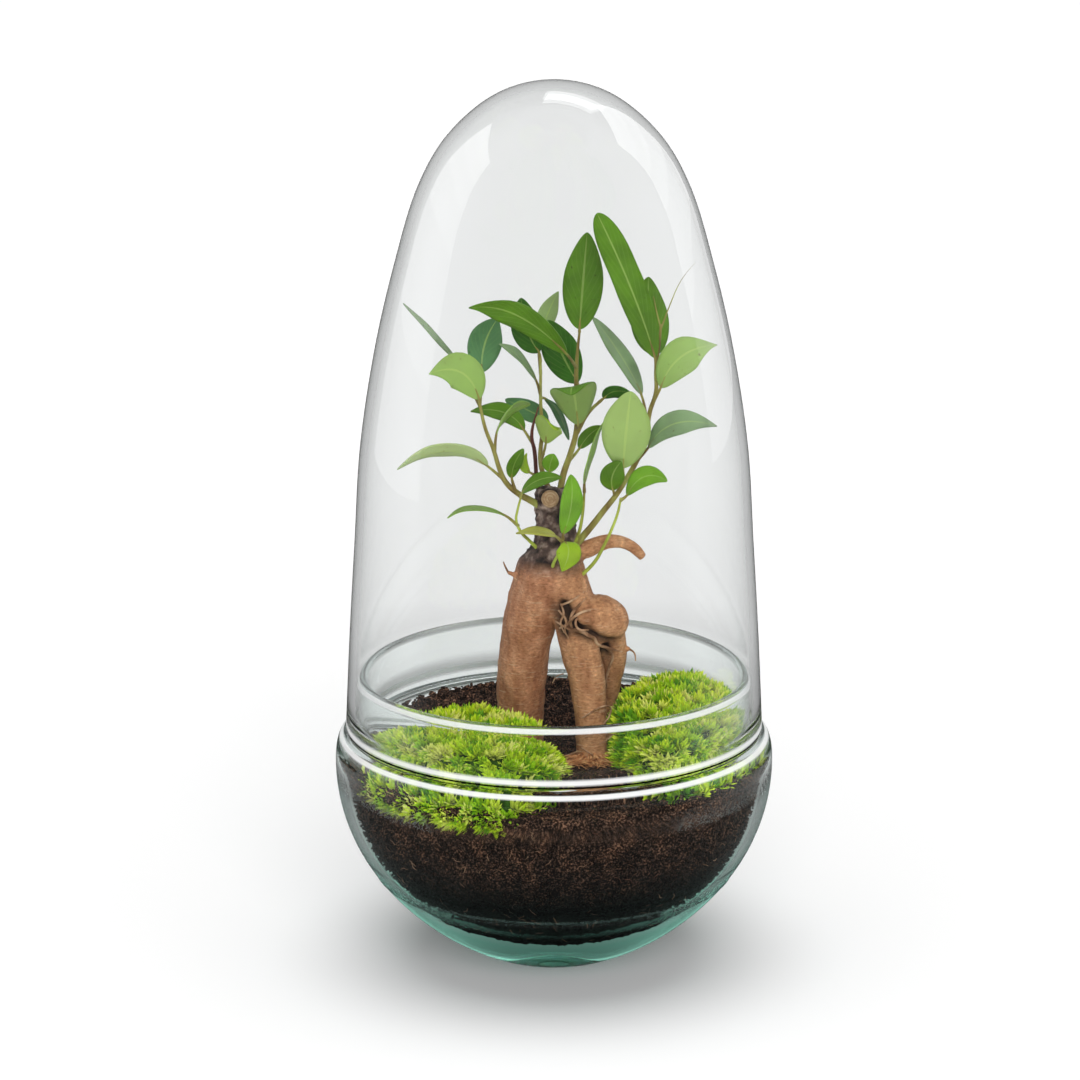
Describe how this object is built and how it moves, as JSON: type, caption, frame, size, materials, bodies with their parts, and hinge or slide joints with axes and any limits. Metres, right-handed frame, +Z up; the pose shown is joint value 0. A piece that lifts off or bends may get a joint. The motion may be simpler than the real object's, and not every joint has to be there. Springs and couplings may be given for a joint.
{
  "type": "glass plant terrarium",
  "caption": "Egg-shaped two-piece glass terrarium: a round bowl of soil and moss with a small two-legged ficus under a tall loose dome.",
  "frame": {"origin": "middle of the bowl's flat base, on the surface that it stands on", "axes": "+Z up through the top of the dome; -Y towards the viewer of the picture, +X to the viewer's right"},
  "size_m": [0.148, 0.148, 0.3],
  "materials": {
    "bowl_glass": "clear, faintly green where thick",
    "dome_glass": "clear and glossy",
    "soil": "dark crumbly potting soil",
    "moss": "bright green tufts",
    "bark": "brown bark with pale cross marks",
    "leaf": "smooth waxy leaves on green-brown twigs"
  },
  "bodies": {
    "root": {"glass_bowl": "bowl_glass", "glass_dome": "dome_glass", "soil": "soil", "moss_left": "moss", "moss_right": "moss", "trunk": "bark", "shoot_left": "leaf", "shoot_middle": "leaf", "shoot_short": "leaf", "shoot_tall": "leaf", "shoot_right": "leaf", "shoot_low_right": "leaf", "shoot_front_thin": "leaf", "shoot_front": "leaf", "shoot_low_left": "leaf"}
  },
  "joints": []
}
